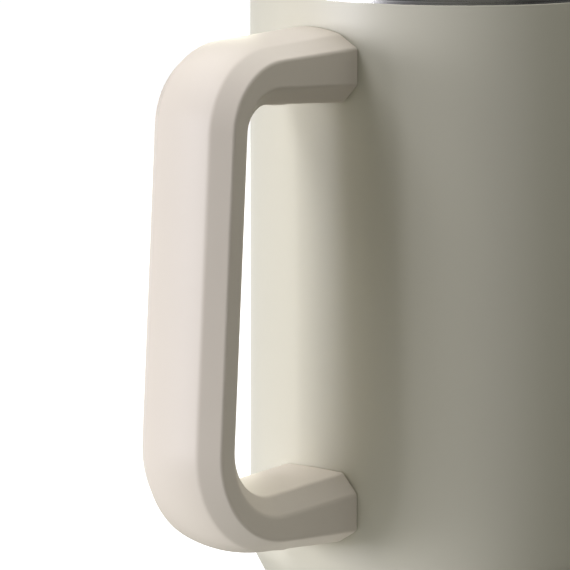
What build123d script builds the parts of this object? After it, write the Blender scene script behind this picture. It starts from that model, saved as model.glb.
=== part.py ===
from build123d import *
import os
from math import atan, tan

# Insulated tumbler with a side handle, a press-in lid with a flip tab, and a straw.
# Millimetres. +Z is up, the origin is the centre of the base, the handle points along +X.

# ---- Cup, overall -------------------------------------------------------------------------

body_radius = 50.0          # painted barrel
rim_height = 244.0          # top of the steel lip
bare_lip = 6.0              # unpainted steel above the paint edge
taper_drop = 135.0          # paint edge down to where the barrel starts to narrow
taper_slope = 0.51          # radius lost per millimetre of height on the cone
foot_top_radius = 38.5      # narrow lower section, under the cone
foot_base_radius = 36.0     # narrow lower section, at the base
blend_radius = 10.0         # rounds between barrel, cone and lower section
base_edge_radius = 3.0

# ---- Cup, walls and base ------------------------------------------------------------------

shell_wall = 0.8
coat_step = 0.2             # the painted shell stands out this far from the bare lip
liner_wall = 0.6
vacuum_gap = 1.8
liner_floor = 7.0           # height of the drinking space's floor
liner_corner = 9.0
shell_lip = 2.0             # shell turned in under the base cap, past its rounded edge
cap_wall = 0.8
pad_proud = 0.8             # the pad holds the steel this far off the table
pad_side_gap = 0.5
dimple_radius = 3.4
dimple_rise = 1.2
dimple_side = 0.8
vent_hole_radius = 1.0      # pumped empty through here, then sealed
seal_radius = 2.8
seal_height = 0.9
getter_radius = 7.0
getter_height = 1.0
getter_offset = 16.0

# ---- Handle: half-widths of its faces -----------------------------------------------------

side_half = 13.16           # flat side faces
outer_half = 8.49           # outer face
inner_half = 9.45           # inner face
outer_crown = 1.17          # swell along the middle of the outer face
inner_crown = 0.45          # swell along the middle of the inner face
end_gap = 0.3               # arm ends to the barrel

# ---- Handle: grip lines, as distances from the barrel -------------------------------------

grip_depth = 65.0           # depth under the paint edge at which they are given
grip_lean = 0.058           # outwards per millimetre down
outer_stand = 45.04
outer_bevel_stand = 41.45
inner_bevel_stand = 37.34
inner_stand = 33.48

# ---- Handle: arm lines, as (depth under the paint edge, rise per millimetre outwards) -----

arm_stand = 15.0            # distance from the barrel at which the depths are given
upper_outer = (8.25, -0.0433)
upper_outer_bevel = (11.14, -0.0303)
upper_inner_bevel = (18.41, 0.0569)
upper_inner = (22.57, 0.0698)
lower_inner = (112.78, -0.1023)
lower_inner_bevel = (117.52, -0.0994)
lower_outer_bevel = (124.36, 0.0295)
lower_outer = (127.21, 0.0365)

# ---- Handle: corner radii, as (upper, lower) ----------------------------------------------

outer_corners = (19.4, 24.4)
outer_bevel_corners = (16.5, 21.9)
inner_bevel_corners = (10.5, 16.1)
inner_corners = (6.3, 11.4)

# ---- Handle core, brackets and screws -----------------------------------------------------

skin = 2.4                  # soft skin over the rigid core
core_half = 9.0
fit_gap = 0.2               # bracket in its pocket
bracket_plate = 1.2
bracket_half = 8.0
bracket_half_height = 4.6
tongue_length = 21.0
tongue_half = 6.0
tongue_thickness = 4.0
screw_reach = 12.0          # bracket plate to screw axis
screw_radius = 2.0
screw_end = 1.0             # screw past the tongue
screw_seat = 1.6            # core left between screw head and tongue
head_radius = 3.5
head_height = 2.4
plug_radius = 4.2
well_depth = 10.0           # more than the plastic under the screw head

# ---- Lid ----------------------------------------------------------------------------------

mouth_gap = 2.2             # lid plug to liner
plug_height = 16.0
lid_wall = 2.8
rest_gap = 0.3              # flange to lip
flange_inset = 0.6          # flange inside the barrel's radius
flange_height = 3.6
flange_round = 1.3
rim_width = 3.2             # raised rim round the deck
rim_round = 0.7
dish_depth = 1.6            # deck below the rim
deck_wall = 2.0
lid_floor_wall = 1.6
chimney_wall = 1.4

# ---- Gasket -------------------------------------------------------------------------------

groove_depth = 1.3
groove_lift = 3.0           # groove above the lid's underside
gasket_height = 8.6
gasket_wall = 1.6
gasket_lips = 2
lip_height = 1.6
lip_gap = 0.3               # lips to liner
turn_gap = 0.08             # gasket to its groove

# ---- Sip opening, flip tab and hinge ------------------------------------------------------

sip_inset = 6.8             # from the lid plug's wall to the opening's middle, towards -Y
sip_length = 20.0
sip_width = 8.6
boss_height = 1.4
boss_wall = 1.5
boss_edge = 0.45            # rounded edges of the boss
hinge_centre = 6.0          # towards -Y from the lid's axis
tab_gap = 0.2               # pad to boss, closed
pad_height = 1.5
tab_thickness = 2.6
tab_half = 13.0
tab_overhang = 3.0          # past the boss
tab_corner = 5.0            # at the free end
root_corner = 2.2
neck_corner = 2.0           # inside corners between plate and neck
tab_edge = 0.9              # rounded upper edge
tab_under_edge = 0.4
scoop_radius = 16.0         # hollow for the fingertip, at the tab's free end
scoop_depth = 0.9
neck_half = 8.0             # tab between the ears
pin_radius = 1.25
pin_gap = 0.06
knuckle_radius = 2.9
ear_width = 3.0
ear_gap = 0.3
ear_edge = 0.5
pin_head = 0.35             # domed pin end outside each ear

# ---- Straw and vent -----------------------------------------------------------------------

straw_centre = 22.0         # towards +Y from the lid's axis
straw_radius = 4.0
straw_bore = 3.25
straw_stand = 67.0          # above the cup's lip
straw_lift = 4.0            # above the liner's floor
straw_edge = 0.3            # rounded rims of the straw
slide_gap = 0.1
grommet_wall = 1.6
grommet_flange = 1.6
grommet_lip = 1.2
grommet_edge = 0.45
chimney_gap = 0.2
vent_radius = 1.0
vent_wall = 1.2
vent_inset = 3.8            # from the lid plug's wall, towards +Y

# ---- Levels and radii that follow from them -----------------------------------------------

paint_edge = rim_height - bare_lip
taper_top = paint_edge - taper_drop
taper_bottom = taper_top - (body_radius - foot_top_radius) / taper_slope
wall = shell_wall + vacuum_gap + liner_wall
mouth_radius = body_radius - wall
cap_bottom = pad_proud + shell_wall
cap_top = cap_bottom + cap_wall
lip_opening = foot_base_radius - base_edge_radius - shell_lip

outer_reach = body_radius + outer_stand
outer_bevel_reach = body_radius + outer_bevel_stand
inner_bevel_reach = body_radius + inner_bevel_stand
inner_reach = body_radius + inner_stand
arm_reach = body_radius + arm_stand
screw_axis = body_radius + bracket_plate + screw_reach

plug_outer = mouth_radius - mouth_gap
plug_inner = plug_outer - lid_wall
lid_bottom = rim_height - plug_height
flange_bottom = rim_height + rest_gap
flange_top = flange_bottom + flange_height
flange_radius = body_radius - flange_inset
deck_top = flange_top - dish_depth
deck_bottom = deck_top - deck_wall
groove_bottom = lid_bottom + groove_lift
groove_top = groove_bottom + gasket_height + 2 * turn_gap
groove_radius = plug_outer - groove_depth
boss_top = deck_top + boss_height
sip_centre = plug_inner - sip_inset
vent_centre = plug_inner - vent_inset
tab_bottom = boss_top + tab_gap + pad_height
hinge_height = tab_bottom + tab_thickness / 2
grommet_radius = straw_radius + slide_gap + grommet_wall
grommet_rim = grommet_radius + grommet_flange
straw_bottom = liner_floor + straw_lift
straw_top = rim_height + straw_stand

UPRIGHT = (Align.CENTER, Align.CENTER, Align.MIN)
CORNER = (Align.MIN, Align.MIN, Align.MIN)


# ---- Helpers ------------------------------------------------------------------------------

def turned(points):
    """Solid of revolution about Z from (radius, height, corner radius) points."""
    path = [(radius, 0, height) for radius, height, _ in points]
    rounds = [corner for _, _, corner in points]
    outline = FilletPolyline(*path, radius=rounds, close=True)
    return revolve(make_face(outline), Axis.Z)


def rod(radius, bottom, top, x=0.0, y=0.0):
    """Upright round rod."""
    return Pos(x, y, bottom) * Cylinder(radius, top - bottom, align=UPRIGHT)


def cross_rod(radius, low, high, y, z):
    """Round rod along X."""
    return Pos(low, y, z) * Rot(0, 90, 0) * Cylinder(radius, high - low, align=UPRIGHT)


def block(x_span, y_span, z_span):
    """Box between three pairs of limits."""
    size = [high - low for low, high in (x_span, y_span, z_span)]
    return Pos(x_span[0], y_span[0], z_span[0]) * Box(*size, align=CORNER)


def slot(length, width, bottom, top, y):
    """Upright block with round ends, its length along X."""
    return extrude(Pos(0, y, bottom) * SlotOverall(length, width), top - bottom)


def export(name, shape, colour):
    """Write one node as a STEP file."""
    solids = shape.solids()
    node = solids[0] if len(solids) == 1 else Compound(children=list(solids))
    node.label = name
    node.color = Color(*colour)
    export_step(node, f"parts/{name}.step")


# ---- Cup ----------------------------------------------------------------------------------

def vessel(inset, floor, corner, top):
    """Solid bounded by the barrel's outline moved in by inset, from floor up to top."""
    lift = inset * tan(atan(taper_slope) / 2)
    return turned([
        (0, floor, 0),
        (foot_base_radius - inset, floor, corner),
        (foot_top_radius - inset, taper_bottom + lift, blend_radius + inset),
        (body_radius - inset, taper_top + lift, blend_radius - inset),
        (body_radius - inset, top, 0),
        (0, top, 0),
    ])


def make_outer_shell():
    """Painted steel wall, turned in under the base and ending at the paint edge."""
    outside = vessel(0, pad_proud, base_edge_radius, paint_edge)
    inside = vessel(shell_wall, cap_bottom, base_edge_radius - shell_wall, paint_edge)
    return outside - inside - rod(lip_opening, 0, cap_bottom)


def make_inner_liner():
    """Steel cup for the drink, its mouth rolled outwards and down onto the shell's edge."""
    outer_inset = wall - liner_wall
    outside = vessel(outer_inset, liner_floor - liner_wall, liner_corner + liner_wall, paint_edge)
    inside = vessel(wall, liner_floor, liner_corner, paint_edge)
    skirt = body_radius - coat_step
    roll = (skirt - mouth_radius) * 0.499
    inner_roll = roll - liner_wall
    fold_top = rim_height - liner_wall
    fold = turned([
        (mouth_radius, paint_edge, 0),
        (mouth_radius, rim_height, roll),
        (skirt, rim_height, roll),
        (skirt, paint_edge, 0),
        (skirt - liner_wall, paint_edge, 0),
        (skirt - liner_wall, fold_top, inner_roll),
        (mouth_radius + liner_wall, fold_top, inner_roll),
        (mouth_radius + liner_wall, paint_edge, 0),
    ])
    return (outside - inside) + fold


def make_shell_base():
    """Steel cap welded inside the shell, with a dimple for the vacuum seal."""
    radius = foot_base_radius - base_edge_radius
    dimple_bottom = cap_bottom + dimple_rise
    return turned([
        (vent_hole_radius, dimple_bottom, 0),
        (dimple_radius, dimple_bottom, 0),
        (dimple_radius + dimple_side, cap_bottom, 0),
        (radius, cap_bottom, 0),
        (radius, cap_top, 0),
        (dimple_radius + dimple_side + cap_wall / 2, cap_top, 0),
        (dimple_radius + cap_wall / 2, dimple_bottom + cap_wall, 0),
        (vent_hole_radius, dimple_bottom + cap_wall, 0),
    ])


def make_vacuum_seal():
    """Glass bead that closes the pumping hole."""
    dimple_bottom = cap_bottom + dimple_rise
    bead = rod(seal_radius, dimple_bottom - seal_height, dimple_bottom)
    return bead + rod(vent_hole_radius, dimple_bottom, dimple_bottom + cap_wall)


def make_getter():
    """Disc inside the vacuum that takes up stray gas."""
    return rod(getter_radius, cap_top, cap_top + getter_height, x=getter_offset)


def make_base_pad():
    """Non-slip disc under the base cap."""
    radius = lip_opening - pad_side_gap
    return turned([(0, 0, 0), (radius, 0, pad_proud / 2), (radius, cap_bottom, 0), (0, cap_bottom, 0)])


# ---- Handle -------------------------------------------------------------------------------

def arm_level(line, reach):
    """Height of an arm line at a distance from the cup's axis."""
    depth, rise = line
    return paint_edge - depth + rise * (reach - arm_reach)


def grip_corner(reach, line):
    """Where a grip line meets an arm line, as (distance, height)."""
    depth, rise = line
    lean_at_axis = depth - grip_depth + rise * arm_reach
    distance = (reach + grip_lean * lean_at_axis) / (1 + grip_lean * rise)
    return distance, arm_level(line, distance)


def loop_face(y, reach, upper, lower, corners, start, swell=0.0):
    """Side view of everything inside one handle line, grown by swell, in the plane at y."""
    upper = (upper[0] - swell, upper[1])
    lower = (lower[0] + swell, lower[1])
    top_corner = grip_corner(reach + swell, upper)
    low_corner = grip_corner(reach + swell, lower)
    path = [
        (start, y, arm_level(upper, start)),
        (top_corner[0], y, top_corner[1]),
        (low_corner[0], y, low_corner[1]),
        (start, y, arm_level(lower, start)),
    ]
    rounds = [0, corners[0] + swell, corners[1] + swell, 0]
    return make_face(FilletPolyline(*path, radius=rounds, close=True))


def swept_loop(bevel, flat, flat_half, crown, start):
    """Solid inside a bevelled, crowned handle surface, between the two side faces."""
    left = loft([loop_face(-side_half, *bevel, start), loop_face(-flat_half, *flat, start)], ruled=True)
    middle = loft([
        loop_face(-flat_half, *flat, start),
        loop_face(0, *flat, start, crown),
        loop_face(flat_half, *flat, start),
    ])
    right = loft([loop_face(flat_half, *flat, start), loop_face(side_half, *bevel, start)], ruled=True)
    return left + middle + right


def make_handle_solid():
    """The whole handle as one solid, with its ends cut to the barrel."""
    start = body_radius / 2
    outer_bevel = (outer_bevel_reach, upper_outer_bevel, lower_outer_bevel, outer_bevel_corners)
    outer_flat = (outer_reach, upper_outer, lower_outer, outer_corners)
    inner_bevel = (inner_bevel_reach, upper_inner_bevel, lower_inner_bevel, inner_bevel_corners)
    inner_flat = (inner_reach, upper_inner, lower_inner, inner_corners)
    outside = swept_loop(outer_bevel, outer_flat, outer_half, outer_crown, start)
    inside = swept_loop(inner_bevel, inner_flat, inner_half, -inner_crown, start - 1)
    barrel = rod(body_radius + end_gap, taper_bottom, rim_height)
    return outside - inside - barrel


def make_core_bar():
    """Bar that runs through the middle of the handle, before its pockets are cut."""
    start = body_radius / 2
    outer = loop_face(0, outer_reach, upper_outer, lower_outer, outer_corners, start, -skin)
    inner = loop_face(0, inner_reach, upper_inner, lower_inner, inner_corners, start - 1, skin)
    bar = extrude(outer, core_half, both=True) - extrude(inner, core_half, both=True)
    return bar - rod(body_radius, taper_bottom, rim_height)


def bracket_level(outer, inner):
    """Height of a bracket's middle, from the arm's two lines at the barrel."""
    return (arm_level(outer, body_radius) + arm_level(inner, body_radius)) / 2


def make_bracket(level, grow=0.0):
    """Steel bracket on the barrel, with a tongue for the arm; grow widens it into a pocket."""
    face = body_radius + bracket_plate
    plate = rod(face + grow, level - bracket_half_height - grow, level + bracket_half_height + grow)
    plate -= rod(body_radius, 0, rim_height)
    plate &= block((0, face + grow), (-bracket_half - grow, bracket_half + grow), (0, rim_height))
    half_thick = tongue_thickness / 2 + grow
    tongue = block(
        (body_radius, face + tongue_length + grow),
        (-tongue_half - grow, tongue_half + grow),
        (level - half_thick, level + half_thick),
    )
    return plate + (tongue - rod(body_radius, 0, rim_height))


def make_screw(level):
    """Screw up through the core into the bracket's tongue."""
    head_top = level - tongue_thickness / 2 - screw_seat
    head = rod(head_radius, head_top - head_height, head_top, screw_axis)
    return head + rod(screw_radius, head_top, level + tongue_thickness / 2 + screw_end, screw_axis)


def screw_well(level):
    """Hole from the arm's underside up to the screw head's seat."""
    head_bottom = level - tongue_thickness / 2 - screw_seat - head_height
    return rod(plug_radius, head_bottom - well_depth, head_bottom, screw_axis)


# ---- Lid ----------------------------------------------------------------------------------

def make_lid_shell():
    """Lid top with flange, deck, gasket groove, chimneys, sip rim and hinge ears."""
    dish_radius = flange_radius - rim_width
    shell = turned([
        (0, deck_bottom, 0),
        (plug_inner, deck_bottom, 0),
        (plug_inner, lid_bottom, 0),
        (plug_outer, lid_bottom, 0.6),
        (plug_outer, groove_bottom, 0),
        (groove_radius, groove_bottom, 0),
        (groove_radius, groove_top, 0),
        (plug_outer, groove_top, 0),
        (plug_outer, flange_bottom, 0),
        (flange_radius, flange_bottom, 0.4),
        (flange_radius, flange_top, flange_round),
        (dish_radius, flange_top, rim_round),
        (dish_radius, deck_top, rim_round),
        (0, deck_top, 0),
    ])
    sip_chimney = slot(sip_length + 2 * chimney_wall, sip_width + 2 * chimney_wall, lid_bottom, deck_top,
                       -sip_centre)
    boss = make_boss()
    straw_chimney = rod(grommet_rim + chimney_gap + chimney_wall, lid_bottom, deck_bottom, y=straw_centre)
    straw_chimney -= rod(grommet_rim + chimney_gap, lid_bottom, deck_bottom, y=straw_centre)
    vent_chimney = rod(vent_radius + vent_wall, lid_bottom, deck_bottom, y=vent_centre)
    shell = shell + sip_chimney + boss + straw_chimney + vent_chimney
    for side in (-1, 1):
        shell += make_ear(side)
    shell -= slot(sip_length, sip_width, lid_bottom, boss_top, -sip_centre)
    shell -= rod(grommet_radius, deck_bottom, deck_top, y=straw_centre)
    shell -= rod(vent_radius, lid_bottom, deck_top, y=vent_centre)
    return shell


def make_boss():
    """Raised rim round the sip opening, both of its upper edges rounded."""
    boss = slot(sip_length + 2 * boss_wall, sip_width + 2 * boss_wall, deck_bottom, boss_top, -sip_centre)
    boss -= slot(sip_length, sip_width, deck_bottom, boss_top, -sip_centre)
    return fillet(boss.faces().sort_by(Axis.Z)[-1].edges(), boss_edge)


def make_ear(side):
    """One of the two ears on the deck that hold the hinge pin."""
    faces = (side * (neck_half + ear_gap), side * (neck_half + ear_gap + ear_width))
    low, high = min(faces), max(faces)
    ear = cross_rod(knuckle_radius, low, high, -hinge_centre, hinge_height)
    ear += block(
        (low, high),
        (-hinge_centre - knuckle_radius, -hinge_centre + knuckle_radius),
        (deck_top - deck_wall / 2, hinge_height),
    )
    ear = fillet(ear.faces().filter_by(Axis.X).edges(), ear_edge)
    return ear - cross_rod(pin_radius, low, high, -hinge_centre, hinge_height)


def make_lid_floor():
    """Disc that closes the lid's underside round its three chimneys."""
    floor_top = lid_bottom + lid_floor_wall
    disc = rod(plug_inner, lid_bottom, floor_top)
    disc -= slot(sip_length + 2 * chimney_wall, sip_width + 2 * chimney_wall, lid_bottom, floor_top,
                 -sip_centre)
    disc -= rod(grommet_rim + chimney_gap + chimney_wall, lid_bottom, floor_top, y=straw_centre)
    disc -= rod(vent_radius + vent_wall, lid_bottom, floor_top, y=vent_centre)
    return disc


def make_gasket():
    """Silicone ring with soft lips that press on the liner."""
    bottom = groove_bottom + turn_gap
    top = bottom + gasket_height
    inner = groove_radius + turn_gap
    body = inner + gasket_wall
    tip = mouth_radius - lip_gap
    ring = turned([(inner, bottom, 0), (body, bottom, 0), (body, top, 0), (inner, top, 0)])
    spacing = gasket_height / gasket_lips
    for index in range(gasket_lips):
        low = bottom + index * spacing + (spacing - lip_height) / 2
        ring += turned([
            (body - turn_gap, low, 0),
            (tip, low + lip_height / 2, 0),
            (tip, low + lip_height, 0),
            (body - turn_gap, low + lip_height, 0),
        ])
    return ring


def make_grommet():
    """Silicone bush in the deck, with a lip above and below, round the straw."""
    bush = rod(grommet_radius, deck_bottom, deck_top, y=straw_centre)
    bush += rod(grommet_rim, deck_top, deck_top + grommet_lip, y=straw_centre)
    bush += rod(grommet_rim, deck_bottom - grommet_lip, deck_bottom, y=straw_centre)
    bush = fillet([bush.edges().sort_by(Axis.Z)[0], bush.edges().sort_by(Axis.Z)[-1]], grommet_edge)
    bore = rod(straw_radius + slide_gap, lid_bottom, boss_top, y=straw_centre)
    return bush - bore


def tab_outline(tip, root):
    """Plan of the tab: a rounded plate with a narrower neck that runs to the hinge."""
    half = [
        (neck_half, -hinge_centre, 0),
        (neck_half, -root, neck_corner),
        (tab_half, -root, root_corner),
        (tab_half, -tip, tab_corner),
    ]
    points = half + [(-x, y, corner) for x, y, corner in reversed(half)]
    path = [(x, y) for x, y, _ in points]
    rounds = [corner for _, _, corner in points]
    return make_face(FilletPolyline(*path, radius=rounds, close=True))


def make_flip_tab():
    """Tab over the sip opening, with a knuckle on the hinge pin and a hollow for the fingertip."""
    tip = sip_centre + sip_width / 2 + boss_wall + tab_overhang
    root = sip_centre - sip_width / 2 - boss_wall - tab_overhang
    tab_top = tab_bottom + tab_thickness
    tab = extrude(Pos(0, 0, tab_bottom) * tab_outline(tip, root), tab_thickness)
    tab = fillet(tab.faces().sort_by(Axis.Z)[-1].edges(), tab_edge)
    tab = fillet(tab.faces().sort_by(Axis.Z)[0].edges(), tab_under_edge)
    tab += cross_rod(knuckle_radius, -neck_half, neck_half, -hinge_centre, hinge_height)
    tab -= Pos(0, -tip, tab_top + scoop_radius - scoop_depth) * Sphere(scoop_radius)
    return tab - cross_rod(pin_radius + pin_gap, -neck_half, neck_half, -hinge_centre, hinge_height)


def make_tab_seal():
    """Silicone pad on the tab that covers the sip opening's raised rim."""
    return slot(sip_length + 2 * boss_wall, sip_width + 2 * boss_wall, boss_top + tab_gap, tab_bottom,
                -sip_centre)


def make_hinge_pin():
    """Steel pin through both ears and the tab's knuckle."""
    end = neck_half + ear_gap + ear_width + pin_head
    pin = cross_rod(pin_radius, -end, end, -hinge_centre, hinge_height)
    return fillet(pin.edges().filter_by(GeomType.CIRCLE), pin_head)


def make_straw():
    """Straight straw, its rims rounded."""
    tube = rod(straw_radius, straw_bottom, straw_top, y=straw_centre)
    tube -= rod(straw_bore, straw_bottom, straw_top, y=straw_centre)
    return fillet(tube.edges().filter_by(GeomType.CIRCLE), straw_edge)


# ---- Build and write ----------------------------------------------------------------------

levels = (bracket_level(upper_outer, upper_inner), bracket_level(lower_outer, lower_inner))

handle = make_handle_solid()
core_bar = make_core_bar()
core_end = rod(body_radius + bracket_plate + fit_gap, taper_bottom, rim_height)
screws = [make_screw(level) for level in levels]
wells = [screw_well(level) for level in levels]
plugs = [well & handle for well in wells]

core = core_bar - core_end
grip = handle - core_bar
for level, screw, well in zip(levels, screws, wells):
    core = core - make_bracket(level, fit_gap) - screw - well
    grip = grip - screw - well

brackets = [make_bracket(level) - screw for level, screw in zip(levels, screws)]

cream = (0.80, 0.77, 0.69)
handle_cream = (0.84, 0.79, 0.73)
steel = (0.62, 0.61, 0.60)
grey = (0.45, 0.45, 0.45)
silicone = (0.88, 0.87, 0.84)

os.makedirs("parts", exist_ok=True)
export("outer_shell", make_outer_shell(), cream)
export("inner_liner", make_inner_liner(), steel)
export("shell_base", make_shell_base(), steel)
export("vacuum_seal", make_vacuum_seal(), grey)
export("vacuum_getter", make_getter(), grey)
export("base_pad", make_base_pad(), silicone)
export("upper_bracket", brackets[0], steel)
export("lower_bracket", brackets[1], steel)
export("handle_core", core, grey)
export("handle_grip", grip, handle_cream)
export("handle_screws", screws[0] + screws[1], steel)
export("upper_plug", plugs[0], handle_cream)
export("lower_plug", plugs[1], handle_cream)
export("lid_shell", make_lid_shell(), handle_cream)
export("lid_floor", make_lid_floor(), handle_cream)
export("lid_gasket", make_gasket(), silicone)
export("straw_grommet", make_grommet(), silicone)
export("flip_tab", make_flip_tab(), cream)
export("tab_seal", make_tab_seal(), silicone)
export("hinge_pin", make_hinge_pin(), steel)
export("straw", make_straw(), silicone)
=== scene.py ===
import math

import bmesh
import bpy
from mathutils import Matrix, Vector


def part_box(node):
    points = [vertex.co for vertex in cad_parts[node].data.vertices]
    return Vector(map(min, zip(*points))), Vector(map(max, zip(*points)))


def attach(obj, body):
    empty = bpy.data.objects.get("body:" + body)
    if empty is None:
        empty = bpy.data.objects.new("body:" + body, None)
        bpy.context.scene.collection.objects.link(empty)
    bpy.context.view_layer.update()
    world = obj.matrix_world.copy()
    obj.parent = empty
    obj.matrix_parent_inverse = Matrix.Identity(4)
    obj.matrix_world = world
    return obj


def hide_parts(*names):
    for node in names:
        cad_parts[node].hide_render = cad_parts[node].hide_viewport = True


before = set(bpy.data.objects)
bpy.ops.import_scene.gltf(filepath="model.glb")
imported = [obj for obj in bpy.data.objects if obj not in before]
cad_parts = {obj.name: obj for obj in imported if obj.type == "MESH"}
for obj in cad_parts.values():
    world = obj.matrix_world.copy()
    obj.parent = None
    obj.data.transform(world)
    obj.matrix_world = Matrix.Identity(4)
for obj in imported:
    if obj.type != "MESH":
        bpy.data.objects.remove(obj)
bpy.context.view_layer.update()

# Looks of the insulated tumbler. Metres, in the row frame: +Z up, the handle along +X.

MM = 0.001

# ---- Colours ------------------------------------------------------------------------------

COAT_COLOUR = (0.640, 0.617, 0.500)
HANDLE_COLOUR = (0.717, 0.652, 0.548)
LID_COLOUR = (0.717, 0.652, 0.548)
STEEL_COLOUR = (0.60, 0.59, 0.57)

# ---- Places taken from the CAD parts ------------------------------------------------------


def low(node):
    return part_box(node)[0]


def high(node):
    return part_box(node)[1]


PAINT_EDGE = high("outer_shell").z
BODY_RADIUS = high("outer_shell").x
RIM_TOP = high("inner_liner").z
LIP_RADIUS = high("inner_liner").x
LINER_FLOOR = low("inner_liner").z      # underside of the drinking space's floor

# ---- Handle, the same lines as the CAD handle ---------------------------------------------

SIDE_HALF = 13.16 * MM
OUTER_HALF = 8.49 * MM
INNER_HALF = 9.45 * MM
OUTER_CROWN = 1.17 * MM
INNER_CROWN = 0.45 * MM
END_GAP = 0.3 * MM
GRIP_DEPTH = 65.0 * MM
GRIP_LEAN = 0.058
ARM_REACH = 65.0 * MM
# Each line: grip distance from the axis, upper and lower arm (depth, rise), corner radii
OUTER_LINE = (95.04 * MM, (8.25 * MM, -0.0433), (127.21 * MM, 0.0365), (19.4 * MM, 24.4 * MM))
OUTER_BEVEL = (91.45 * MM, (11.14 * MM, -0.0303), (124.36 * MM, 0.0295), (16.5 * MM, 21.9 * MM))
INNER_BEVEL = (87.34 * MM, (18.41 * MM, 0.0569), (117.52 * MM, -0.0994), (10.5 * MM, 16.1 * MM))
INNER_LINE = (83.48 * MM, (22.57 * MM, 0.0698), (112.78 * MM, -0.1023), (6.3 * MM, 11.4 * MM))
EDGE_CUT = 0.648 * MM       # how far the handle's rounded edges reach into its faces
SIDE_EDGE_CUT = 0.72 * MM
OUTER_EDGE_SHARE = 0.09     # part of a crowned face, at each edge, that its rounding takes
INNER_EDGE_SHARE = 0.08
END_ROUND = 0.25 * MM       # rounding where the arms meet the barrel
ARM_STEPS = 8               # sections along an arm, round a bend and along the grip
BEND_STEPS = 26
GRIP_STEPS = 18
FACE_STEPS = 10             # points across a face and round an edge
EDGE_STEPS = 5

# ---- Camera -------------------------------------------------------------------------------

CAMERA_TURN = math.radians(43.19)      # round from the handle, towards +Y
CAMERA_DISTANCE = 1.80387
CAMERA_RISE = 0.19396                  # above the paint edge
CAMERA_PITCH = math.radians(8.416)
CAMERA_YAW = math.radians(1.324)
CAMERA_LENS = 480.3                    # on a 36 mm sensor


def make_camera():
    """Long lens from beside the handle, looking slightly down."""
    data = bpy.data.cameras.new("camera")
    data.lens = CAMERA_LENS
    data.sensor_width = 36.0
    data.clip_end = 20.0
    camera = bpy.data.objects.new("camera", data)
    bpy.context.collection.objects.link(camera)
    side = Vector((math.cos(CAMERA_TURN), math.sin(CAMERA_TURN), 0))
    camera.location = side * CAMERA_DISTANCE + Vector((0, 0, PAINT_EDGE + CAMERA_RISE))
    turn = CAMERA_TURN + CAMERA_YAW
    level = math.cos(CAMERA_PITCH)
    ahead = Vector((-math.cos(turn) * level, -math.sin(turn) * level, -math.sin(CAMERA_PITCH)))
    camera.rotation_mode = "QUATERNION"
    camera.rotation_quaternion = ahead.to_track_quat("-Z", "Y")
    bpy.context.scene.camera = camera


# ---- Mesh helpers -------------------------------------------------------------------------


def finish_piece(name, mesh, body, node, material):
    """Smooth object from a mesh, standing for a CAD node."""
    for polygon in mesh.polygons:
        polygon.use_smooth = True
    piece = bpy.data.objects.new(name, mesh)
    bpy.context.collection.objects.link(piece)
    mesh.materials.append(material)
    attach(piece, body)
    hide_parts(node)
    return piece


def mesh_from(name, vertices, faces):
    """Mesh with outward normals."""
    mesh = bpy.data.meshes.new(name)
    mesh.from_pydata([tuple(v) for v in vertices], [], faces)
    work = bmesh.new()
    work.from_mesh(mesh)
    bmesh.ops.recalc_face_normals(work, faces=work.faces)
    work.to_mesh(mesh)
    work.free()
    mesh.update()
    return mesh


# ---- Handle -------------------------------------------------------------------------------


def arm_height(line, reach):
    depth, rise = line
    return PAINT_EDGE - depth + rise * (reach - ARM_REACH)


def grip_corner(reach, line):
    """Where a grip line meets an arm line, as (distance, height)."""
    depth, rise = line
    at_axis = depth - GRIP_DEPTH + rise * ARM_REACH
    distance = (reach + GRIP_LEAN * at_axis) / (1 + GRIP_LEAN * rise)
    return Vector((distance, arm_height(line, distance)))


def rounded_path(line):
    """Points and outward normals along one handle line, from the barrel round to the barrel."""
    reach, upper, lower, (upper_round, lower_round) = line
    start = Vector((BODY_RADIUS, arm_height(upper, BODY_RADIUS)))
    end = Vector((BODY_RADIUS, arm_height(lower, BODY_RADIUS)))
    corners = [(grip_corner(reach, upper), upper_round), (grip_corner(reach, lower), lower_round)]
    knots = [start, corners[0][0], corners[1][0], end]
    steps = (ARM_STEPS, GRIP_STEPS, ARM_STEPS)
    points = []
    normals = []
    here = start
    for index in range(3):
        along = (knots[index + 1] - knots[index]).normalized()
        normal = Vector((-along.y, along.x))
        if index < 2:
            corner, radius = corners[index]
            onward = (knots[index + 2] - knots[index + 1]).normalized()
            bend = along.angle(onward)
            cut = radius * math.tan(bend / 2)
            stop = corner - along * cut
        else:
            stop = end
        for step in range(steps[index]):
            points.append(here.lerp(stop, step / steps[index]))
            normals.append(normal)
        if index == 2:
            points.append(end)
            normals.append(normal)
            break
        centre = stop - normal * radius
        for step in range(BEND_STEPS):
            angle = -bend * step / BEND_STEPS
            spoke = Vector((
                normal.x * math.cos(angle) - normal.y * math.sin(angle),
                normal.x * math.sin(angle) + normal.y * math.cos(angle),
            ))
            points.append(centre + spoke * radius)
            normals.append(spoke)
        here = corner + onward * cut
    return points, normals


def crowned_face(edge_a, edge_b, normal, crown, inset):
    """Points across a face between two edges, swelling by crown along the middle."""
    points = []
    for step in range(FACE_STEPS + 1):
        share = inset + (1 - 2 * inset) * step / FACE_STEPS
        across = 2 * share - 1
        points.append(edge_a.lerp(edge_b, share) + normal * crown * (1 - across * across))
    return points


def soft_corner(before, corner, after, cut):
    """Rounds a corner between two neighbours: points of a quadratic curve, ends included."""
    start = corner + (before - corner).normalized() * cut
    stop = corner + (after - corner).normalized() * cut
    points = []
    for step in range(EDGE_STEPS + 1):
        share = step / EDGE_STEPS
        points.append(start.lerp(corner, share).lerp(corner.lerp(stop, share), share))
    return points


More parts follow.
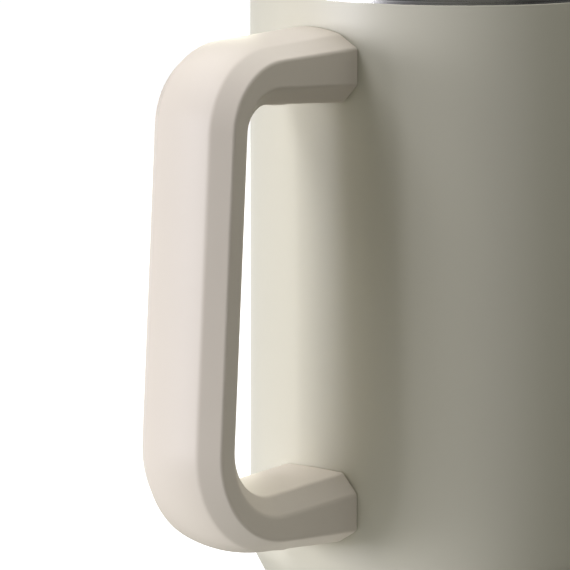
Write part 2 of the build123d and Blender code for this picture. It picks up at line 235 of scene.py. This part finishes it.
def handle_sections():
    """Closed sections along the handle: an octagon with crowned faces and soft edges."""
    outer, outer_normals = rounded_path(OUTER_LINE)
    outer_bevel = rounded_path(OUTER_BEVEL)[0]
    inner_bevel = rounded_path(INNER_BEVEL)[0]
    inner, inner_normals = rounded_path(INNER_LINE)
    edges = zip(outer, outer_bevel, inner_bevel, inner)
    sections = []
    for (a, b, c, d), up, down in zip(edges, outer_normals, inner_normals):
        corners = {}
        for letter, point, half in (
            ("a", a, OUTER_HALF), ("b", b, SIDE_HALF), ("c", c, SIDE_HALF), ("d", d, INNER_HALF),
        ):
            corners[letter] = Vector((point.x, half, point.y))
            corners[letter.upper()] = Vector((point.x, -half, point.y))
        up = Vector((up.x, 0, up.y))
        down = -Vector((down.x, 0, down.y))
        sections.append(rounded_section(corners, up, down))
    return sections


def rounded_section(corners, up, down):
    """One section: outer half from side to side, then the inner half back."""
    outer_face = crowned_face(corners["A"], corners["a"], up, OUTER_CROWN, OUTER_EDGE_SHARE)
    inner_face = crowned_face(corners["D"], corners["d"], down, INNER_CROWN, INNER_EDGE_SHARE)
    half = []
    half += soft_corner(corners["C"], corners["B"], corners["A"], SIDE_EDGE_CUT)
    half += soft_corner(corners["B"], corners["A"], outer_face[0], EDGE_CUT)
    half += outer_face
    half += soft_corner(outer_face[-1], corners["a"], corners["b"], EDGE_CUT)
    half += soft_corner(corners["a"], corners["b"], corners["c"], SIDE_EDGE_CUT)
    back = []
    back += soft_corner(corners["B"], corners["C"], corners["D"], SIDE_EDGE_CUT)
    back += soft_corner(corners["C"], corners["D"], inner_face[0], EDGE_CUT)
    back += inner_face
    back += soft_corner(inner_face[-1], corners["d"], corners["c"], EDGE_CUT)
    back += soft_corner(corners["d"], corners["c"], corners["b"], SIDE_EDGE_CUT)
    return half, back


def make_handle(material):
    """Handle skin as one closed mesh, its ends following the barrel."""
    sections = handle_sections()
    seat = BODY_RADIUS + END_GAP
    last = len(sections) - 1
    rings = []
    for index, (half, back) in enumerate(sections):
        ring = half + back[::-1]
        share = max(0.0, 1 - min(index, last - index) / ARM_STEPS)
        moved = []
        for point in ring:
            reach = math.sqrt(seat * seat - point.y * point.y)
            moved.append(point + Vector(((reach - BODY_RADIUS) * share, 0, 0)))
        rings.append(moved)
    rings = [end_ring(rings[0])] + rings + [end_ring(rings[-1])]
    rings[1] = [point + Vector((END_ROUND, 0, 0)) for point in rings[1]]
    rings[-2] = [point + Vector((END_ROUND, 0, 0)) for point in rings[-2]]
    count = len(rings[0])
    vertices = [point for ring in rings for point in ring]
    faces = []
    for ring in range(len(rings) - 1):
        for step in range(count):
            after = (step + 1) % count
            a = ring * count + step
            b = ring * count + after
            faces.append((a, b, b + count, a + count))
    half = count // 2
    for base in (0, (len(rings) - 1) * count):
        for step in range(half - 1):
            faces.append((base + step, base + step + 1, base + count - 2 - step, base + count - 1 - step))
    mesh = mesh_from("handle_skin", vertices, faces)
    piece = finish_piece("handle_skin", mesh, "cup", "handle_grip", material)
    weigh_normals(piece)
    return piece


def end_ring(ring):
    """The ring at an arm's end, drawn in a little so that the edge catches the light."""
    centre = sum(ring, Vector()) / len(ring)
    result = []
    for point in ring:
        inward = (centre - point)
        inward.x = 0
        result.append(point + inward.normalized() * END_ROUND)
    return result


def weigh_normals(piece):
    """Keeps flat faces flat beside their rounded edges."""
    modifier = piece.modifiers.new("flats", "WEIGHTED_NORMAL")
    modifier.keep_sharp = True
    modifier.weight = 50


# ---- Turned pieces ------------------------------------------------------------------------

SHARP_ANGLE = math.radians(40)
ON_AXIS = 1e-7              # radii under this are on the axis


def rounded(corners, steps=6):
    """Profile from (radius, height, corner radius) points, its corners as arcs."""
    profile = []
    last = len(corners) - 1
    for index, (x, z, radius) in enumerate(corners):
        if radius <= 0 or index in (0, last):
            profile.append((x, z))
            continue
        here = Vector((x, z))
        before = (Vector(corners[index - 1][:2]) - here).normalized()
        after = (Vector(corners[index + 1][:2]) - here).normalized()
        bend = math.pi - before.angle(after)
        cut = radius * math.tan(bend / 2)
        start = here + before * cut
        stop = here + after * cut
        centre = here + (before + after).normalized() * (radius / math.cos(bend / 2))
        for step in range(steps + 1):
            spoke = (start - centre).normalized().slerp((stop - centre).normalized(), step / steps)
            profile.append(tuple(centre + spoke * radius))
    return profile


def turn(name, profile, closed, segments=192):
    """Mesh of revolution about Z, its sharp edges kept. Points on the axis become one vertex."""
    vertices = []
    rows = []
    for radius, height in profile:
        if radius < ON_AXIS:
            rows.append([len(vertices)] * segments)
            vertices.append((0, 0, height))
            continue
        row = []
        for step in range(segments):
            angle = 2 * math.pi * step / segments
            row.append(len(vertices))
            vertices.append((radius * math.cos(angle), radius * math.sin(angle), height))
        rows.append(row)
    faces = []
    pairs = list(zip(rows, rows[1:] + rows[:1])) if closed else list(zip(rows, rows[1:]))
    for lower, upper in pairs:
        for step in range(segments):
            after = (step + 1) % segments
            face = tuple(dict.fromkeys((lower[step], lower[after], upper[after], upper[step])))
            if len(face) > 2:
                faces.append(face)
    mesh = mesh_from(name, vertices, faces)
    mesh.set_sharp_from_angle(angle=SHARP_ANGLE)
    return mesh


# ---- Cup ----------------------------------------------------------------------------------

SHELL_WALL = 0.8 * MM
LINER_WALL = 0.6 * MM
DOUBLE_WALL = 3.2 * MM
TAPER_DROP = 135.0 * MM
TAPER_SLOPE = 0.51
FOOT_TOP_RADIUS = 38.5 * MM
FOOT_BASE_RADIUS = 36.0 * MM
BLEND_RADIUS = 10.0 * MM
BASE_EDGE_RADIUS = 3.0 * MM
LINER_CORNER = 9.0 * MM
SHELL_TURN_IN = 5.0 * MM    # shell turned in under the base
COAT_ROUND = 0.16 * MM
COAT_LAP = 0.1 * MM         # the coat's edge ends this far inside the lip
ROLL_SHARE = 0.495          # lip's rolling radius, of its thickness
CUP_SEGMENTS = 256
TAPER_TOP = PAINT_EDGE - TAPER_DROP
TAPER_BOTTOM = TAPER_TOP - (BODY_RADIUS - FOOT_TOP_RADIUS) / TAPER_SLOPE


def vessel_line(inset, floor, corner):
    """Profile points of the barrel, cone and foot moved in by inset, from the floor up."""
    lift = inset * math.tan(math.atan(TAPER_SLOPE) / 2)
    return [
        (FOOT_BASE_RADIUS - inset, floor, corner),
        (FOOT_TOP_RADIUS - inset, TAPER_BOTTOM + lift, BLEND_RADIUS + inset),
        (BODY_RADIUS - inset, TAPER_TOP + lift, BLEND_RADIUS - inset),
    ]


def make_shell(material):
    """Painted wall, with the coat's rolled edge under the bare lip."""
    bottom = low("outer_shell").z
    outside = vessel_line(0, bottom, BASE_EDGE_RADIUS)
    inside = vessel_line(SHELL_WALL, bottom + SHELL_WALL, BASE_EDGE_RADIUS - SHELL_WALL)
    turn_in = FOOT_BASE_RADIUS - SHELL_TURN_IN
    corners = [(turn_in, bottom, 0)] + outside + [
        (BODY_RADIUS, PAINT_EDGE, COAT_ROUND),
        (LIP_RADIUS - COAT_LAP, PAINT_EDGE, 0),
        (BODY_RADIUS - SHELL_WALL, PAINT_EDGE, 0),
    ] + inside[::-1] + [(turn_in, bottom + SHELL_WALL, 0)]
    mesh = turn("cup_wall", rounded(corners, steps=10), closed=True, segments=CUP_SEGMENTS)
    return finish_piece("cup_wall", mesh, "cup", "outer_shell", material)


def make_liner(material):
    """Steel cup for the drink, its mouth rolled out and down over the shell's edge."""
    skirt = LIP_RADIUS
    mouth = BODY_RADIUS - DOUBLE_WALL
    roll = (skirt - mouth) * ROLL_SHARE
    inner_roll = roll - LINER_WALL
    fold_top = RIM_TOP - LINER_WALL
    drink_side = vessel_line(DOUBLE_WALL, LINER_FLOOR + LINER_WALL, LINER_CORNER)
    vacuum_side = vessel_line(DOUBLE_WALL - LINER_WALL, LINER_FLOOR, LINER_CORNER + LINER_WALL)
    corners = [(0, LINER_FLOOR + LINER_WALL, 0)] + drink_side + [
        (mouth, RIM_TOP, roll),
        (skirt, RIM_TOP, roll),
        (skirt, PAINT_EDGE, 0),
        (skirt - LINER_WALL, PAINT_EDGE, 0),
        (skirt - LINER_WALL, fold_top, inner_roll),
        (mouth + LINER_WALL, fold_top, inner_roll),
    ] + vacuum_side[::-1] + [(0, LINER_FLOOR, 0)]
    mesh = turn("drink_cup", rounded(corners, steps=12), closed=False, segments=CUP_SEGMENTS)
    return finish_piece("drink_cup", mesh, "cup", "inner_liner", material)


PAD_RINGS = (0.42, 0.80)    # radii of the pad's grooves, of its own
PAD_GROOVE_HALF = 0.9 * MM
PAD_GROOVE_DEPTH = 0.35 * MM
PAD_GROOVE_ROUND = 0.15 * MM
PAD_EDGE = 0.4 * MM
PAD_TOP_EDGE = 0.1 * MM


def make_pad(material):
    """Non-slip disc under the base, with a rounded rim and two ring grooves underneath."""
    radius = high("base_pad").x
    top = high("base_pad").z
    corners = [(0, 0, 0)]
    for ring in PAD_RINGS:
        middle = radius * ring
        corners += [
            (middle - PAD_GROOVE_HALF, 0, PAD_GROOVE_ROUND),
            (middle - PAD_GROOVE_HALF / 2, PAD_GROOVE_DEPTH, PAD_GROOVE_ROUND),
            (middle + PAD_GROOVE_HALF / 2, PAD_GROOVE_DEPTH, PAD_GROOVE_ROUND),
            (middle + PAD_GROOVE_HALF, 0, PAD_GROOVE_ROUND),
        ]
    corners += [(radius, 0, PAD_EDGE), (radius, top, PAD_TOP_EDGE), (0, top, 0)]
    mesh = turn("foot_pad", rounded(corners, steps=5), closed=False, segments=128)
    return finish_piece("foot_pad", mesh, "cup", "base_pad", material)


# ---- Lid seal -----------------------------------------------------------------------------

MOUTH_GAP = 2.2 * MM        # lid plug to liner
SEAL_GROOVE = 1.3 * MM
SEAL_GAP = 0.08 * MM        # gasket to its groove
SEAL_WALL = 1.6 * MM
LIP_COUNT = 2
LIP_HEIGHT = 1.6 * MM
SEAL_EDGE = 0.3 * MM
LIP_ROOT = 0.4 * MM         # rounding under a lip, at its tip's lower and upper edge
LIP_TIP_LOWER = 0.2 * MM
LIP_TIP_UPPER = 0.35 * MM


def make_gasket(material):
    """Silicone ring with two soft lips, their tips rounded."""
    bottom, top = low("lid_gasket").z, high("lid_gasket").z
    tip = high("lid_gasket").x
    inner = BODY_RADIUS - DOUBLE_WALL - MOUTH_GAP - SEAL_GROOVE + SEAL_GAP
    body = inner + SEAL_WALL
    spacing = (top - bottom) / LIP_COUNT
    corners = [(inner, bottom, 0), (body, bottom, SEAL_EDGE)]
    for index in range(LIP_COUNT):
        foot = bottom + index * spacing + (spacing - LIP_HEIGHT) / 2
        corners += [
            (body, foot, LIP_ROOT),
            (tip, foot + LIP_HEIGHT / 2, LIP_TIP_LOWER),
            (tip, foot + LIP_HEIGHT, LIP_TIP_UPPER),
            (body, foot + LIP_HEIGHT, SEAL_EDGE),
        ]
    corners += [(body, top, SEAL_EDGE), (inner, top, 0)]
    mesh = turn("seal_lips", rounded(corners, steps=5), closed=True)
    return finish_piece("seal_lips", mesh, "seal_ring", "lid_gasket", material)


# ---- Handle plugs -------------------------------------------------------------------------

PLUG_PROUD = 0.02 * MM      # cap's rim below the CAD plug
PLUG_GAP = 0.1 * MM         # cap to its well
PLUG_DISH = 0.25 * MM       # hollow in the cap's middle
PLUG_DISH_EDGE = 0.12 * MM
PLUG_DISH_SHARE = 0.55
PLUG_DISH_ROUND = 1.0 * MM
PLUG_RIM = 0.7 * MM
PLUG_BEVEL = 0.3 * MM
PLUG_EDGE = 0.2 * MM


def make_plug(name, node, material):
    """Plug over a handle screw: a shallow dished cap, just proud of the arm's underside."""
    lowest, highest = low(node), high(node)
    middle = (lowest + highest) / 2
    radius = (highest.x - lowest.x) / 2
    proud = lowest.z - PLUG_PROUD
    corners = [
        (0, proud + PLUG_DISH, 0),
        (radius * PLUG_DISH_SHARE, proud + PLUG_DISH_EDGE, PLUG_DISH_ROUND),
        (radius - PLUG_RIM, proud, PLUG_BEVEL),
        (radius - PLUG_GAP, proud + PLUG_BEVEL, PLUG_EDGE),
        (radius - PLUG_GAP, highest.z, 0),
        (0, highest.z, 0),
    ]
    mesh = turn(name, rounded(corners, steps=5), closed=False, segments=64)
    for vertex in mesh.vertices:
        vertex.co.x += middle.x
        vertex.co.y += middle.y
    return finish_piece(name, mesh, "cup", node, material)


# ---- Materials ----------------------------------------------------------------------------

NOISE_LOW = 0.3             # noise between these is spread over the range asked for
NOISE_HIGH = 0.7


def shader(name, colour, roughness, metallic=0.0):
    """New node material, returned with its main shader, nodes and links."""
    material = bpy.data.materials.new(name)
    material.use_nodes = True
    tree = material.node_tree
    main = tree.nodes["Principled BSDF"]
    main.inputs["Base Color"].default_value = (*colour, 1)
    main.inputs["Roughness"].default_value = roughness
    main.inputs["Metallic"].default_value = metallic
    return material, main, tree.nodes, tree.links


def local_noise(nodes, links, scale, detail=2.0, stretch=(1, 1, 1)):
    """Noise fixed to the piece itself; scale is in features per metre."""
    place = nodes.new("ShaderNodeTexCoord")
    mapping = nodes.new("ShaderNodeMapping")
    mapping.inputs["Scale"].default_value = stretch
    noise = nodes.new("ShaderNodeTexNoise")
    noise.inputs["Scale"].default_value = scale
    noise.inputs["Detail"].default_value = detail
    links.new(place.outputs["Object"], mapping.inputs["Vector"])
    links.new(mapping.outputs["Vector"], noise.inputs["Vector"])
    return noise.outputs["Fac"]


def spread(nodes, links, source, lowest, highest):
    """Noise brought into a range."""
    remap = nodes.new("ShaderNodeMapRange")
    remap.inputs["From Min"].default_value = NOISE_LOW
    remap.inputs["From Max"].default_value = NOISE_HIGH
    remap.inputs["To Min"].default_value = lowest
    remap.inputs["To Max"].default_value = highest
    links.new(source, remap.inputs["Value"])
    return remap.outputs["Result"]


def mottle(nodes, links, main, colour, amount, source):
    """Base colour that drifts a little lighter and darker."""
    mix = nodes.new("ShaderNodeMix")
    mix.data_type = "RGBA"
    mix.inputs["A"].default_value = (*[c * (1 - amount) for c in colour], 1)
    mix.inputs["B"].default_value = (*[min(1.0, c * (1 + amount)) for c in colour], 1)
    links.new(spread(nodes, links, source, 0, 1), mix.inputs["Factor"])
    links.new(mix.outputs["Result"], main.inputs["Base Color"])


def grain(nodes, links, main, layers):
    """Bump from one or more (source, depth, strength) layers."""
    below = None
    for source, depth, strength in layers:
        bump = nodes.new("ShaderNodeBump")
        bump.inputs["Distance"].default_value = depth
        bump.inputs["Strength"].default_value = strength
        links.new(source, bump.inputs["Height"])
        if below:
            links.new(below, bump.inputs["Normal"])
        below = bump.outputs["Normal"]
    links.new(below, main.inputs["Normal"])


def powder_coat():
    """Satin powder coat: faint orange peel under a very fine grain."""
    colour = COAT_COLOUR
    material, main, nodes, links = shader("powder_coat", colour, 0.42)
    drift = local_noise(nodes, links, 30, 3)
    peel = local_noise(nodes, links, 900, 2)
    fine = local_noise(nodes, links, 3500, 3)
    mottle(nodes, links, main, colour, 0.008, drift)
    links.new(spread(nodes, links, peel, 0.40, 0.45), main.inputs["Roughness"])
    grain(nodes, links, main, [(peel, 0.03 * MM, 0.25), (fine, 0.012 * MM, 0.35)])
    return material


def handle_plastic():
    """Moulded plastic with a fine spark-eroded texture."""
    colour = HANDLE_COLOUR
    material, main, nodes, links = shader("handle_plastic", colour, 0.5)
    drift = local_noise(nodes, links, 45, 3)
    texture = local_noise(nodes, links, 2600, 4)
    mottle(nodes, links, main, colour, 0.008, drift)
    links.new(spread(nodes, links, texture, 0.45, 0.52), main.inputs["Roughness"])
    grain(nodes, links, main, [(texture, 0.015 * MM, 0.35)])
    return material


def lid_plastic():
    """Harder, smoother moulded plastic for the lid and its tab."""
    colour = LID_COLOUR
    material, main, nodes, links = shader("lid_plastic", colour, 0.33)
    drift = local_noise(nodes, links, 60, 3)
    texture = local_noise(nodes, links, 1800, 3)
    mottle(nodes, links, main, colour, 0.012, drift)
    links.new(spread(nodes, links, texture, 0.30, 0.40), main.inputs["Roughness"])
    grain(nodes, links, main, [(texture, 0.012 * MM, 0.3)])
    return material


def spun_steel():
    """Stainless steel with fine turning lines round the cup."""
    material, main, nodes, links = shader("spun_steel", STEEL_COLOUR, 0.26, 0.9)
    lines = local_noise(nodes, links, 60, 4, (0.5, 0.5, 90))
    scuff = local_noise(nodes, links, 220, 4)
    mottle(nodes, links, main, STEEL_COLOUR, 0.04, lines)
    links.new(spread(nodes, links, lines, 0.20, 0.34), main.inputs["Roughness"])
    grain(nodes, links, main, [(lines, 0.01 * MM, 0.25), (scuff, 0.006 * MM, 0.15)])
    return material


def silicone():
    """Soft milky silicone with a matt skin."""
    colour = (0.70, 0.68, 0.62)
    material, main, nodes, links = shader("silicone", colour, 0.55)
    main.inputs["Subsurface Weight"].default_value = 0.3
    main.inputs["Subsurface Radius"].default_value = (1.0, 0.9, 0.8)
    main.inputs["Subsurface Scale"].default_value = 0.002
    dust = local_noise(nodes, links, 1500, 3)
    mottle(nodes, links, main, colour, 0.02, dust)
    links.new(spread(nodes, links, dust, 0.48, 0.62), main.inputs["Roughness"])
    grain(nodes, links, main, [(dust, 0.02 * MM, 0.3)])
    return material


def pad_rubber():
    """Warm grey rubber, finely pitted."""
    colour = (0.20, 0.19, 0.17)
    material, main, nodes, links = shader("pad_rubber", colour, 0.75)
    pits = local_noise(nodes, links, 1400, 4)
    mottle(nodes, links, main, colour, 0.08, pits)
    links.new(spread(nodes, links, pits, 0.66, 0.86), main.inputs["Roughness"])
    grain(nodes, links, main, [(pits, 0.04 * MM, 0.5)])
    return material


def straw_plastic():
    """Frosted plastic with faint draw lines along its length."""
    colour = (0.74, 0.71, 0.64)
    material, main, nodes, links = shader("straw_plastic", colour, 0.3)
    main.inputs["Subsurface Weight"].default_value = 0.35
    main.inputs["Subsurface Radius"].default_value = (1.0, 0.9, 0.8)
    main.inputs["Subsurface Scale"].default_value = 0.003
    draw = local_noise(nodes, links, 900, 3, (1, 1, 0.02))
    mottle(nodes, links, main, colour, 0.015, draw)
    links.new(spread(nodes, links, draw, 0.25, 0.36), main.inputs["Roughness"])
    grain(nodes, links, main, [(draw, 0.01 * MM, 0.3)])
    return material


def core_plastic():
    """Grey glass-filled plastic of the handle's core."""
    colour = (0.33, 0.33, 0.32)
    material, main, nodes, links = shader("core_plastic", colour, 0.6)
    fibre = local_noise(nodes, links, 1200, 4)
    mottle(nodes, links, main, colour, 0.06, fibre)
    links.new(spread(nodes, links, fibre, 0.5, 0.7), main.inputs["Roughness"])
    grain(nodes, links, main, [(fibre, 0.02 * MM, 0.4)])
    return material


def getter_metal():
    """Dull sintered metal."""
    colour = (0.40, 0.39, 0.37)
    material, main, nodes, links = shader("getter_metal", colour, 0.6, 0.8)
    sinter = local_noise(nodes, links, 1600, 4)
    mottle(nodes, links, main, colour, 0.1, sinter)
    grain(nodes, links, main, [(sinter, 0.03 * MM, 0.5)])
    return material


def seal_glass():
    """Greenish solder glass."""
    colour = (0.30, 0.36, 0.30)
    material, main, nodes, links = shader("seal_glass", colour, 0.15)
    flow = local_noise(nodes, links, 500, 2)
    mottle(nodes, links, main, colour, 0.08, flow)
    grain(nodes, links, main, [(flow, 0.03 * MM, 0.3)])
    return material


# The CAD nodes that stay, by the record's slot that they take
KEPT_NODES = {
    "bare_steel": ("shell_base", "upper_bracket", "lower_bracket", "handle_screws", "hinge_pin"),
    "core_plastic": ("handle_core",),
    "lid_plastic": ("lid_shell", "lid_floor", "flip_tab"),
    "silicone": ("straw_grommet", "tab_seal"),
    "straw_plastic": ("straw",),
    "getter_metal": ("vacuum_getter",),
    "seal_glass": ("vacuum_seal",),
}


def dress_kept_nodes(materials):
    """Gives each CAD node that stays its material."""
    for slot_name, nodes in KEPT_NODES.items():
        for node in nodes:
            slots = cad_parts[node].data.materials
            slots.clear()
            slots.append(materials[slot_name])


# ---- Stage --------------------------------------------------------------------------------

FLOOR_SIZE = 30.0
FLOOR_NEAR_GLOW = 0.45     # painted glow of the floor that the camera sees, close to the cup and further off
FLOOR_FAR_GLOW = 0.97
NEAR_RADIUS = 0.22
FAR_RADIUS = 0.50
FLOOR_PALENESS = 0.45       # of the matt part that takes shadows
KEY_TINT = (1.0, 0.995, 1.10)
FILL_TINT = (1.0, 0.99, 0.82)
HIGH_TINT = (1.0, 1.0, 1.02)
CARD_TINT = (1.0, 1.0, 1.0)
CARD_DEPTH = 0.4 * MM       # under the floor
CARD_STEPS = 12
LIGHT_DISTANCE = 1.5
LIGHT_TARGET = PAINT_EDGE - GRIP_DEPTH

# Each light: turn in degrees from the camera (negative is to its left), elevation, width, height, watts
KEY_LIGHTS = {
    "key": (-66, 3, 0.42, 0.38, 8.2),
    "key_right": (-55, 3, 0.12, 0.38, 2.6),
    "key_left": (-77, 3, 0.21, 0.38, 0.9),
    "key_above": (-57, 31, 0.42, 0.38, 3.0),
    "key_high": (-71, 47, 0.63, 0.42, 4.3),
}
FILL_LIGHTS = {
    "front": (5, 15, 1.50, 0.80, 1.2),
    "right": (92, 12, 0.60, 0.80, 1.5),
    "right_back": (130, 15, 1.00, 0.80, 5.0),
    "back": (180, 15, 0.60, 0.80, 6.0),
}
HIGH_LIGHTS = {
    "high_left": (-120, 58, 1.00, 0.80, 6.4),
    "high_front": (0, 58, 1.00, 0.80, 1.2),
    "high_side": (60, 58, 1.00, 0.80, 5.8),
    "high_right": (120, 58, 1.00, 0.80, 4.7),
    "high_back": (180, 58, 1.00, 0.80, 2.9),
    "overhead": (180, 86, 0.80, 0.80, 1.6),
}

# White cards under the floor: turn from, turn to, inner and outer radius, brightness
FLOOR_CARDS = {
    "card_left_near": (-112, -22, 0.02, 0.35, 0.98),
    "card_front_near": (-22, 22, 0.02, 0.35, 0.71),
    "card_left_far": (-157, -67, 0.35, 2.50, 0.80),
    "card_back_far": (-202, -157, 0.35, 2.50, 1.89),
    "card_right_far": (45, 112, 0.35, 2.50, 0.08),
}


def make_floor():
    """Pale floor with a painted glow, dimmer near the cup and white further off. Only the camera sees it:
    the cards light the cup from below.
    """
    bpy.ops.mesh.primitive_plane_add(size=FLOOR_SIZE, location=(0, 0, 0))
    floor = bpy.context.object
    floor.name = "floor"
    material = bpy.data.materials.new("floor")
    material.use_nodes = True
    nodes, links = material.node_tree.nodes, material.node_tree.links
    nodes.clear()
    place = nodes.new("ShaderNodeTexCoord")
    away = nodes.new("ShaderNodeVectorMath")
    away.operation = "LENGTH"
    links.new(place.outputs["Object"], away.inputs[0])
    fade = nodes.new("ShaderNodeMapRange")
    fade.inputs["From Min"].default_value = NEAR_RADIUS
    fade.inputs["From Max"].default_value = FAR_RADIUS
    fade.inputs["To Min"].default_value = FLOOR_NEAR_GLOW
    fade.inputs["To Max"].default_value = FLOOR_FAR_GLOW
    links.new(away.outputs["Value"], fade.inputs["Value"])
    # painted glow on the floor: it shines for the camera, less near the cup and more further off
    white = nodes.new("ShaderNodeEmission")
    links.new(fade.outputs["Result"], white.inputs["Strength"])
    matt = nodes.new("ShaderNodeBsdfDiffuse")
    matt.inputs["Color"].default_value = (FLOOR_PALENESS, FLOOR_PALENESS, FLOOR_PALENESS, 1)
    seen = nodes.new("ShaderNodeAddShader")
    links.new(white.outputs["Emission"], seen.inputs[0])
    links.new(matt.outputs["BSDF"], seen.inputs[1])
    surface = nodes.new("ShaderNodeOutputMaterial")
    links.new(seen.outputs["Shader"], surface.inputs["Surface"])
    floor.data.materials.append(material)
    floor.visible_diffuse = False
    floor.visible_glossy = False
    floor.visible_transmission = False
    floor.visible_shadow = False


def floor_card(name, turn_from, turn_to, inner, outer, brightness):
    """Glowing sector of a ring, just under the floor, that shines through it."""
    turns = [turn_from + (turn_to - turn_from) * i / CARD_STEPS for i in range(CARD_STEPS + 1)]
    angles = [CAMERA_TURN + math.radians(turn) for turn in turns]
    rim = [(outer * math.cos(a), outer * math.sin(a), -CARD_DEPTH) for a in angles]
    back = [(inner * math.cos(a), inner * math.sin(a), -CARD_DEPTH) for a in reversed(angles)]
    mesh = bpy.data.meshes.new(name)
    mesh.from_pydata(rim + back, [], [list(range(len(rim + back)))])
    material = bpy.data.materials.new(name)
    material.use_nodes = True
    nodes, links = material.node_tree.nodes, material.node_tree.links
    nodes.clear()
    glow = nodes.new("ShaderNodeEmission")
    glow.inputs["Color"].default_value = (*CARD_TINT, 1)
    glow.inputs["Strength"].default_value = brightness
    surface = nodes.new("ShaderNodeOutputMaterial")
    links.new(glow.outputs["Emission"], surface.inputs["Surface"])
    mesh.materials.append(material)
    card = bpy.data.objects.new(name, mesh)
    bpy.context.collection.objects.link(card)
    card.visible_camera = False
    card.visible_shadow = False


def area_light(name, tint, turn_away, elevation, width, height, watts):
    """Soft rectangular light, placed by its direction from the handle's middle."""
    data = bpy.data.lights.new(name, "AREA")
    data.shape = "RECTANGLE"
    data.size = width
    data.size_y = height
    data.energy = watts
    data.color = tint
    light = bpy.data.objects.new(name, data)
    bpy.context.collection.objects.link(light)
    azimuth = CAMERA_TURN + math.radians(turn_away)
    rise = math.radians(elevation)
    away = Vector((math.cos(azimuth) * math.cos(rise), math.sin(azimuth) * math.cos(rise), math.sin(rise)))
    light.location = Vector((0, 0, LIGHT_TARGET)) + away * LIGHT_DISTANCE
    light.rotation_mode = "QUATERNION"
    light.rotation_quaternion = (-away).to_track_quat("-Z", "Y")
    light.visible_camera = False


def make_lights():
    """Soft lights round the cup, and the cards under the floor."""
    for tint, lights in ((KEY_TINT, KEY_LIGHTS), (FILL_TINT, FILL_LIGHTS), (HIGH_TINT, HIGH_LIGHTS)):
        for name, measures in lights.items():
            area_light(name, tint, *measures)
    for name, measures in FLOOR_CARDS.items():
        floor_card(name, *measures)


def make_world():
    """White behind the floor's edge, giving no light of its own."""
    world = bpy.data.worlds.new("studio")
    bpy.context.scene.world = world
    world.use_nodes = True
    nodes, links = world.node_tree.nodes, world.node_tree.links
    background = nodes["Background"]
    background.inputs["Color"].default_value = (1, 1, 1, 1)
    ray = nodes.new("ShaderNodeLightPath")
    links.new(ray.outputs["Is Camera Ray"], background.inputs["Strength"])


# ---- Build --------------------------------------------------------------------------------

bpy.context.scene.view_settings.view_transform = "Standard"
make_camera()

materials = {
    "cup_coat": powder_coat(),
    "bare_steel": spun_steel(),
    "handle_plastic": handle_plastic(),
    "core_plastic": core_plastic(),
    "lid_plastic": lid_plastic(),
    "silicone": silicone(),
    "pad_rubber": pad_rubber(),
    "straw_plastic": straw_plastic(),
    "getter_metal": getter_metal(),
    "seal_glass": seal_glass(),
}
dress_kept_nodes(materials)
make_shell(materials["cup_coat"])
make_liner(materials["bare_steel"])
make_pad(materials["pad_rubber"])
make_handle(materials["handle_plastic"])
make_plug("upper_screw_plug", "upper_plug", materials["handle_plastic"])
make_plug("lower_screw_plug", "lower_plug", materials["handle_plastic"])
make_gasket(materials["silicone"])

make_floor()
make_lights()
make_world()
